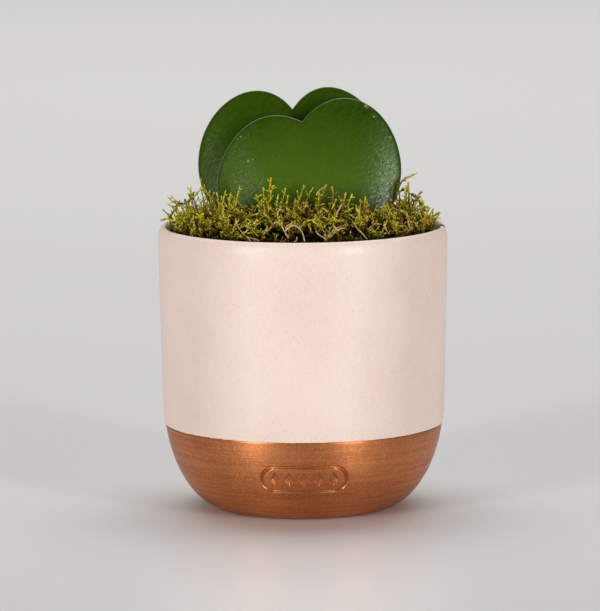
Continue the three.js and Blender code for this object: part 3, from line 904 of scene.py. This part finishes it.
def mossMat():
    # a flat-topped disc whose top is then laid on the hummocks
    rings = mat["rings"]
    rows = [(mat["radius"] * ring / rings, 120) for ring in range(rings, -1, -1)]
    profile = [(0, mat["bottom"]), (40, mat["bottom"]), (mat["radius"] - 0.6, mat["bottom"])]
    profile += [(mat["radius"] - 0.4, 113), (mat["radius"], 116), *rows]
    bm = spun(profile, mat["steps"])
    for vert in bm.verts:
        x, y, z = vert.co
        if z > 118:
            rough = mat["rough"] * noise.noise(Vector((x, y, 0)) / mat["roughSize"])
            vert.co.z = matHeight(x, y) + rough * (1 - (math.hypot(x, y) / mat["reach"]) ** 6)
    return bm


def extended(bm, face, matrix):
    # the end face of a stem is drawn out and moved; gives the new end face
    grown = bmesh.ops.extrude_face_region(bm, geom=[face])["geom"]
    face = next(item for item in grown if isinstance(item, bmesh.types.BMFace))
    bmesh.ops.transform(bm, matrix=matrix, verts=list(face.verts))
    return face


def growStem(bm, tip, start, length, radii, segments, bend, tipRange, arch=0.0):
    # a three-sided stem, a little bent and uneven in thickness at each step; gives the frames on its way
    made = bmesh.ops.create_circle(bm, cap_ends=True, segments=3, radius=radii[0], matrix=start)
    ring = made["verts"]
    face = ring[0].link_faces[0]
    for vert in ring:
        vert[tip] = tipRange[0]
    place = whole = start
    frames = [start]
    for step in range(segments):
        lean = rotation(random.gauss(0, bend), "X")
        lean = lean @ rotation(random.gauss(arch / segments, bend), "Y")
        place = place @ lean @ Matrix.Translation((0, 0, length / segments))
        share = (step + 1) / segments
        size = (1 + (radii[1] / radii[0] - 1) * share) * random.uniform(*sprig["uneven"])
        moved = place @ Matrix.Scale(size, 4)
        face = extended(bm, face, moved @ whole.inverted())
        for vert in face.verts:
            vert[tip] = min(1, tipRange[0] + (tipRange[1] - tipRange[0]) * share)
        whole = moved
        frames.append(place)
    return frames


def growTwigs(bm, tip, frames, count, lengths, steps):
    # twigs leave the stem at turning sides, the longest of them low down
    segments = len(frames) - 1
    shortest, longest = lengths
    side = random.uniform(0, 360)
    for twig in range(count):
        share = 0.12 + 0.86 * (twig + random.uniform(-0.3, 0.3)) / count
        along = min(max(share, 0.03), 0.97) * segments
        low = int(along)
        base = frames[low].lerp(frames[low + 1], along - low)
        length = (shortest + (longest - shortest) * (1 - share) ** 0.7) * random.uniform(0.7, 1.2)
        side += 180
        lean = random.uniform(*sprig["twigLean"])
        turn = rotation(side + random.gauss(0, 28), "Z") @ rotation(lean, "Y")
        tips = (share * 0.8, share * 0.8 + 0.45)
        growStem(bm, tip, base @ turn, length, sprig["twig"], steps, sprig["twigBend"], tips)


def sprigMesh(length, segments, bend, count, lengths, arch=0.0):
    bm = bmesh.new()
    tip = bm.verts.layers.float.new("tip")
    bm.verts.layers.float.new("tone")
    frames = growStem(bm, tip, Matrix.Identity(4), length, sprig["stem"], segments, bend, (0, 1), arch)
    growTwigs(bm, tip, frames, count, lengths, segments // 4)
    bmesh.ops.recalc_face_normals(bm, faces=bm.faces)
    mesh = bpy.data.meshes.new("sprig")
    bm.to_mesh(mesh)
    bm.free()
    return mesh, numpy.array([vert.co for vert in mesh.vertices]), frames[-1].translation


def spaceOf(leaf):
    # how far the leaf reaches in each direction from its middle
    line = leafOutline(leaf)
    turn = numpy.arctan2(line[:, 1] - blade["middle"], line[:, 0])
    reach = numpy.hypot(line[:, 0], line[:, 1] - blade["middle"])
    order = numpy.argsort(turn)
    return leaf, numpy.array(leafMatrix(leaf).inverted()), turn[order], reach[order]


leafSpace = [spaceOf(frontLeaf), spaceOf(backLeaf)]


def isClear(points):
    # inside the rim, and off both leaves
    out = numpy.hypot(points[:, 0], points[:, 1])
    low = points[:, 2] < sprig["rimHeight"]
    if (out[low] > sprig["underRim"]).any() or (out > sprig["overRim"]).any():
        return False
    for leaf, inverse, turns, reaches in leafSpace:
        local = points @ inverse[:3, :3].T + inverse[:3, 3]
        x, y = local[:, 0], local[:, 2]
        offset = numpy.abs(local[:, 1] - leafDepth(leaf, x, y))
        near = numpy.hypot(x, y - blade["middle"])
        reach = numpy.interp(numpy.arctan2(y - blade["middle"], x), turns, reaches, period=math.tau)
        if ((offset < sprig["leafGap"]) & (near < reach + 0.8) & (y > 0)).any():
            return False
    return True


def addSprig(bm, source, matrix, toneValue):
    # painted shade: points deep between their neighbours get a low tip value, so they are painted as dark
    # as roots
    mesh = source.copy()
    mesh.transform(matrix)
    spots = numpy.array([vert.co for vert in mesh.vertices])
    floorHeight = numpy.maximum(matHeight(spots[:, 0], spots[:, 1]) + 1.5, sprig["shadeHeight"])
    least = numpy.interp(spots[:, 1], sprig["front"], sprig["shadeLeast"])
    lit = numpy.clip((spots[:, 2] - floorHeight) / sprig["shadeReach"], least, 1)
    tips = [item.value for item in mesh.attributes["tip"].data]
    mesh.attributes["tip"].data.foreach_set("value", lit * tips)
    mesh.attributes["tone"].data.foreach_set("value", [toneValue] * len(tips))
    bm.from_mesh(mesh)
    bpy.data.meshes.remove(mesh)


def partFor(x, y):
    # front left, front right or behind
    return 2 if y >= 0 else 0 if x < 0 else 1


def placed(points, matrix):
    whole = numpy.array(matrix)
    return points @ whole[:3, :3].T + whole[:3, 3]


def standing(x, y, lean, toward, twist, size):
    # where a sprig stands: rooted in the mat, leaning towards an angle seen from above
    root = Vector((x, y, matHeight(x, y) - sprig["rootDepth"]))
    turn = rotation(toward, "Z") @ rotation(lean, "Y")
    return Matrix.Translation(root) @ turn @ rotation(twist, "Z") @ Matrix.Scale(size, 4)


def plantSprigs(parts, variants):
    # neighbours lean alike, and pockets are left between the tufts
    upright, rimward, uneven = sprig["slope"]
    planted = 0
    for number in range(sprig["count"]):
        reach = sprig["reach"] * math.sqrt(random.random())
        angle = random.uniform(0, 360)
        x, y = reach * math.cos(math.radians(angle)), reach * math.sin(math.radians(angle))
        variant = random.choice(variants)
        darker = sprig["darkerRight"] * smoothStep((x + 25) / 35)
        toneValue = 0.5 - darker + 0.5 * noise.noise(Vector((x, y, 2)) / 14)
        toneValue += random.gauss(0, sprig["toneSpread"])
        if any(math.hypot(x - holeX, y - holeY) < hole for holeX, holeY, hole in sprig["bare"]):
            continue
        tuft = noise.noise(Vector((x, y, 4)) / sprig["pocket"])
        crowd = float(numpy.interp(y, sprig["front"], sprig["crowd"]))
        if random.random() > crowd * (0.12 + 0.88 * smoothStep((tuft + 0.4 * crowd) / 0.45)):
            continue
        outward = (reach / 60) ** 2
        swirl = angle + sprig["swirl"] * noise.noise(Vector((x, y, 11)) / 17)
        slope = upright + rimward * outward + uneven * noise.noise(Vector((x, y, 17)) / 12)
        for attempt in range(sprig["attempts"]):  # each more upright than the last
            lean = abs(slope + random.gauss(0, sprig["slopeSpread"])) * (1 - attempt / 9)
            toward = swirl + random.gauss(0, sprig["swirlSpread"])
            twist, size = random.uniform(0, 360), random.uniform(*sprig["size"])
            matrix = standing(x, y, lean, toward, twist, size)
            if isClear(placed(variant[1], matrix)):
                addSprig(parts[partFor(x, y)], variant[0], matrix, min(max(toneValue, 0), 1))
                planted += 1
                break
    print("sprigs planted", planted)


def plantTallSprigs(parts):
    for tipPlace, (x, y), toneValue in tallSprigs:
        root = Vector((x, y, matHeight(x, y) - sprig["rootDepth"]))
        way = Vector(tipPlace) - root
        for attempt in range(tall["attempts"]):
            count = random.randint(*tall["twigs"])
            made = sprigMesh(way.length, tall["segments"], tall["bend"], count, tall["twigLength"])
            mesh, points, tip = made
            turn = tip.rotation_difference(way).to_matrix().to_4x4()
            matrix = Matrix.Translation(root) @ turn @ Matrix.Scale(way.length / tip.length, 4)
            if isClear(placed(points, matrix)):
                addSprig(parts[partFor(x, y)], mesh, matrix, toneValue)
                break
        else:
            print("no room for the tall sprig at", tipPlace)


def addStrand(bm, tone, corners, toneValue, thickness=1.0, uneven=0.25):
    # a round strand along a curve, thinner towards its end; gives its points and the frames on its way
    spots = geometry.interpolate_bezier(*(Vector(corner) for corner in corners), strand["steps"] + 1)
    thick, thin = strand["radius"]
    steps = [after - before for before, after in zip(spots, spots[1:])]
    ways = [step.to_track_quat("Z", "Y").to_matrix().to_4x4() for step in steps]
    whole = Matrix.Translation(spots[0]) @ ways[0]
    made = bmesh.ops.create_circle(
        bm, cap_ends=True, segments=strand["sides"], radius=thick * thickness, matrix=whole
    )
    verts = made["verts"]
    face = verts[0].link_faces[0]
    frames = [whole]
    for step, (spot, way) in enumerate(zip(spots[1:], ways)):
        size = 1 + (thin / thick - 1) * (step + 1) / strand["steps"] + uneven * noise.noise(spot / 1.2)
        frames.append(Matrix.Translation(spot) @ way)
        moved = frames[-1] @ Matrix.Scale(size, 4)
        face = extended(bm, face, moved @ whole.inverted())
        verts += list(face.verts)
        whole = moved
    for vert in verts:
        vert[tone] = toneValue
    return verts, frames


def addArcs(parts):
    for corners, toneValue, thickness in mossArcs:
        bm = parts[partFor(corners[0][0], corners[0][1])]
        tone, tip = bm.verts.layers.float["tone"], bm.verts.layers.float["tip"]
        before = len(bm.verts)
        verts, frames = addStrand(bm, tone, corners, toneValue, thickness * arc["thicker"], arc["uneven"])
        for number, vert in enumerate(verts):
            vert[tip] = 0.5 + 0.4 * number / len(verts)
        growTwigs(bm, tip, frames, random.randint(*arc["twigs"]), arc["twigLength"], 1)
        for vert in list(bm.verts)[before:]:
            vert[tone] = toneValue


def addCrumbs(bm):
    # grains of soil on the lip of the pot
    for middle, reach, count in crumbs["patches"]:
        for number in range(count):
            turn = math.radians(middle + random.uniform(-reach, reach))
            out, size = random.uniform(*crumbs["lip"]), random.uniform(*crumbs["size"])
            high = pot["height"] + size * 0.4
            place = Matrix.Translation((out * math.cos(turn), out * math.sin(turn), high))
            shape = Matrix.Diagonal([size * random.uniform(0.7, 1.3) for axis in range(3)]).to_4x4()
            bmesh.ops.create_icosphere(bm, subdivisions=1, radius=1, matrix=place @ shape)


def driedPiece():
    bm = bmesh.new()
    tone = bm.verts.layers.float.new("tone")
    for corners, toneValue, thickness in driedStrands:
        addStrand(bm, tone, corners, toneValue, thickness)
    for number in range(strand["scattered"]):
        reach, angle = strand["reach"] * math.sqrt(random.random()), random.uniform(0, math.tau)
        x, y = reach * math.cos(angle), reach * math.sin(angle)
        if y < strand["front"]:
            continue
        corners = []
        for high in (0, 1, 0.9, 0.1):
            x, y = x + random.gauss(0, strand["wander"]), y + random.gauss(0, strand["wander"])
            corners.append((x, y, matHeight(x, y) + 1 + high * random.uniform(*strand["rise"])))
        if isClear(numpy.array(corners)):
            addStrand(bm, tone, corners, random.random(), 0.8)
    strandFaces = set(bm.faces)
    addStrand(bm, tone, crumbs["stick"], 0)
    addCrumbs(bm)
    for face in bm.faces:
        if face not in strandFaces:
            face.material_index = 1
    bmesh.ops.recalc_face_normals(bm, faces=bm.faces)
    return bm


random.seed(sprig["seed"])
variants = []
for share, lengths, bend, arches, counts, twigLengths in sprigKinds:
    for number in range(share):
        length, count = random.uniform(*lengths), random.randint(*counts)
        arch = random.uniform(*arches)
        variants.append(sprigMesh(length, sprig["segments"], bend, count, twigLengths, arch))
parts = [bmesh.new() for part in range(3)]
plantTallSprigs(parts)
plantSprigs(parts, variants)
addArcs(parts)
for part in parts:
    bmesh.ops.recalc_face_normals(part, faces=part.faces)

strandFinish = {"Roughness": 0.6, "Specular IOR Level": 0.015}
mossStrands, tree, shader, place = newMaterial("mossStrands", strandFinish)
# the tip attribute holds how far along its stem a point is, times the painted shade set when the sprig is
# planted
toneValue, tipAndShadeValue = attribute(tree, "tone"), attribute(tree, "tip")
ramp = addNode(tree, "ShaderNodeValToRGB", {0: toneValue})
stops = [  # from dried brown through shaded and fresh green to pale yellow
    (0.0, (0.24, 0.09, 0.012)),
    (0.12, (0.19, 0.095, 0.004)),
    (0.18, (0.03, 0.035, 0.0003)),
    (0.45, (0.095, 0.1, 0.0003)),
    (0.75, (0.25, 0.22, 0.001)),
    (1.0, (0.56, 0.43, 0.02)),
]
colours = ramp.color_ramp.elements
for position, colour in stops[1:-1]:
    colours.new(position)
for element, (position, colour) in zip(colours, stops):
    element.position = position
    element.color = (*colour, 1)
dried = remap(tree, toneValue, 0.18, 0.12)
youngTint = mixColour(tree, dried, (0.9, 0.76, 0.045), (0.62, 0.38, 0.05))
# pale young tips, together with painted light: only tips high up, where the painted shade leaves them, turn
# pale
youngAndLit = times(tree, maths(tree, "POWER", tipAndShadeValue, 2.5), 0.72)
tint = mixColour(tree, youngAndLit, ramp.outputs[0], youngTint)
# painted shade: roots and parts deep among the sprigs, where the tip value is low, darken to near black
tint = mixColour(tree, remap(tree, tipAndShadeValue, 0.2, 0.8, 1, 0), tint, (0.004, 0.003, 0.0002))
mottle = remap(tree, cloud(tree, place, 700), 0, 1, 0, 0.5)
tint = mixColour(tree, mottle, tint, (0.045, 0.045, 0.0003))
# painted glints: rare bright dots on the lit tips stand in for highlights on the strands
paintedGlints = cloud(tree, place, 1200, 0.62, 0.68, 1)
paintedGlints = times(tree, paintedGlints, remap(tree, tipAndShadeValue, 0.3, 0.9, 0, 0.9))
tint = mixColour(tree, paintedGlints, tint, (1, 0.92, 0.35))
feed(tree, shader, tint, None, cloud(tree, place, 1500), 0.0002, 0.8)

driedFinish = {"Roughness": 0.6, "Specular IOR Level": 0.15}
driedStrand, tree, shader, place = newMaterial("driedStrand", driedFinish)
tint = mixColour(tree, attribute(tree, "tone"), (0.72, 0.38, 0.21), (0.72, 0.57, 0.26))
mottle = remap(tree, cloud(tree, place, 800), 0, 1, 0, 0.45)
tint = mixColour(tree, mottle, tint, (0.25, 0.13, 0.05))
feed(tree, shader, tint, None, cloud(tree, place, 1800), 0.0002, 0.8)

mossShade, tree, shader, place = newMaterial("mossShade", {"Roughness": 0.9})
tint = mixColour(tree, cloud(tree, place, 350), (0.008, 0.0065, 0.001), (0.036, 0.031, 0.003))
along = cloud(tree, stretched(tree, place, (1100, 300, 500)), 1, 0.48, 0.6, 2)
across = cloud(tree, stretched(tree, place, (300, 1100, 500)), 1, 0.48, 0.6, 2)
fibres = maths(tree, "MAXIMUM", along, across)
bareStrip = remap(tree, axesOf(tree, place)["Y"], -0.024, -0.044, 0, 0.9)  # few sprigs hide it there
tint = mixColour(tree, times(tree, fibres, bareStrip), tint, (0.25, 0.21, 0.012))
feed(tree, shader, tint, None, fibres, 0.0008)

finishPiece(mossMat(), "mossMat", [mossShade], ["moss_cover"])
for name, part in zip(("mossFrontLeft", "mossFrontRight", "mossBehind"), parts):
    finishPiece(part, name, [mossStrands], ["moss_cover"])

crumbBrown, tree, shader, place = newMaterial("crumbBrown", {"Roughness": 0.9})
feed(tree, shader, mixColour(tree, cloud(tree, place, 900), (0.05, 0.03, 0.018), (0.15, 0.09, 0.05)))
finishPiece(driedPiece(), "driedStrands", [driedStrand, crumbBrown], ["moss_cover"])

# Soil: the CAD solid stays

soil, tree, shader, place = newMaterial("pottingMix", {"Roughness": 0.95})
tint = mixColour(tree, cloud(tree, place, 260, detail=6), (0.018, 0.011, 0.007), (0.075, 0.045, 0.026))
tint = mixColour(tree, speckle(tree, place, 330, 0.3, 0.12), tint, (0.3, 0.2, 0.11))
feed(tree, shader, tint, None, cloud(tree, place, 420, detail=6), 0.0012)
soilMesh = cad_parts["potting_soil"].data
soilMesh.materials.clear()
soilMesh.materials.append(soil)
